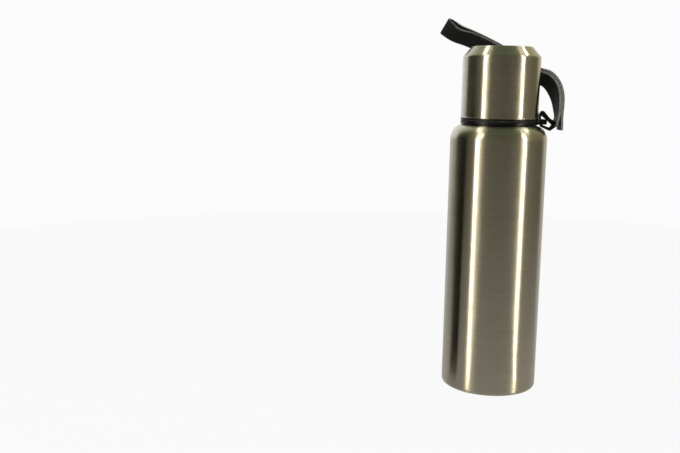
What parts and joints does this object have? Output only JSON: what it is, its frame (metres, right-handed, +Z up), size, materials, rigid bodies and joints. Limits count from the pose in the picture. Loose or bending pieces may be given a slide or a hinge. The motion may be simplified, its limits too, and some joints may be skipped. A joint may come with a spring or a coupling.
{
  "type": "vacuum flask",
  "caption": "Steel vacuum flask with a screw-on cup lid, a push-button pouring stopper, and a strap on a swivelling collar.",
  "frame": {"origin": "centre of the foot on the surface that the flask stands on", "axes": "+Z up the flask's axis, +X towards the ear and the strap, -Y the side that faces the viewer"},
  "size_m": [0.1034, 0.0996, 0.3257],
  "materials": {
    "brushed_body": "brushed, clear lacquer",
    "brushed_cup": "brushed, clear lacquer",
    "base_steel": "satin",
    "liner_steel": "satin, electropolished",
    "seal_metal": "satin",
    "getter_metal": "sintered, dull",
    "foil": "bright foil",
    "collar_plastic": "fine moulded satin",
    "link_plastic": "moulded satin",
    "strap_leather": "grained, cut edges",
    "cup_plastic": "moulded satin",
    "seal_rubber": "silicone, matte",
    "stopper_plastic": "moulded satin",
    "cover_plastic": "moulded satin",
    "button_plastic": "moulded satin",
    "foam": "closed-cell foam",
    "spring_steel": "drawn wire"
  },
  "bodies": {
    "flask": {"outer_shell": "brushed_body", "inner_liner": "liner_steel", "base_plate": "base_steel", "vacuum_seal_disc": "seal_metal", "getter_pill": "getter_metal", "radiation_foil": "foil"},
    "collar": {"strap_collar": "collar_plastic"},
    "link": {"link_loop": "link_plastic"},
    "strap": {"carry_strap": "strap_leather"},
    "cup_carrier": {"cup_seal_ring": "seal_rubber"},
    "cup": {"cup_shell": "brushed_cup", "cup_liner": "cup_plastic"},
    "stopper_carrier": {"stopper_gasket": "seal_rubber"},
    "stopper": {"stopper_body": "stopper_plastic", "stopper_base": "stopper_plastic", "stopper_foam": "foam", "stopper_cover": "cover_plastic", "stem_guide": "stopper_plastic", "button_spring": "spring_steel"},
    "button": {"pour_button": "button_plastic", "valve_stem": "button_plastic", "valve_disc": "button_plastic", "valve_seal": "seal_rubber"}
  },
  "joints": [
    {"name": "collar_swivel", "type": "hinge", "parent": "flask", "child": "collar", "pos_m": [0, 0, 0.2342], "axis": [0, 0, 1], "continuous": true},
    {"name": "link_swing", "type": "hinge", "parent": "collar", "child": "link", "pos_m": [0.0387, 0, 0.2354], "axis": [0, 1, 0], "range_deg": [0, 20]},
    {"name": "strap_swing", "type": "hinge", "parent": "link", "child": "strap", "pos_m": [0.04851, 0, 0.2332], "axis": [0, 1, 0], "range_deg": [0, 60]},
    {"name": "cup_rise", "type": "slide", "parent": "flask", "child": "cup_carrier", "axis": [0, 0, 1], "range_m": [0, 0.045]},
    {"name": "cup_turn", "type": "hinge", "parent": "cup_carrier", "child": "cup", "pos_m": [0, 0, 0.25], "axis": [0, 0, 1], "range_deg": [0, 1350]},
    {"name": "stopper_rise", "type": "slide", "parent": "flask", "child": "stopper_carrier", "axis": [0, 0, 1], "range_m": [0, 0.012]},
    {"name": "stopper_turn", "type": "hinge", "parent": "stopper_carrier", "child": "stopper", "pos_m": [0, 0, 0.24], "axis": [0, 0, 1], "range_deg": [0, 540]},
    {"name": "button_press", "type": "slide", "parent": "stopper", "child": "button", "axis": [0, 0, -1], "range_m": [0, 0.003], "stiffness_N_per_m": 900, "springref_m": -0.001, "deforming": ["button_spring"]}
  ],
  "couplings": [
    {"joint": "cup_rise", "follows": "cup_turn", "m_per_rad": 0.0019099},
    {"joint": "stopper_rise", "follows": "stopper_turn", "m_per_rad": 0.0012732}
  ]
}
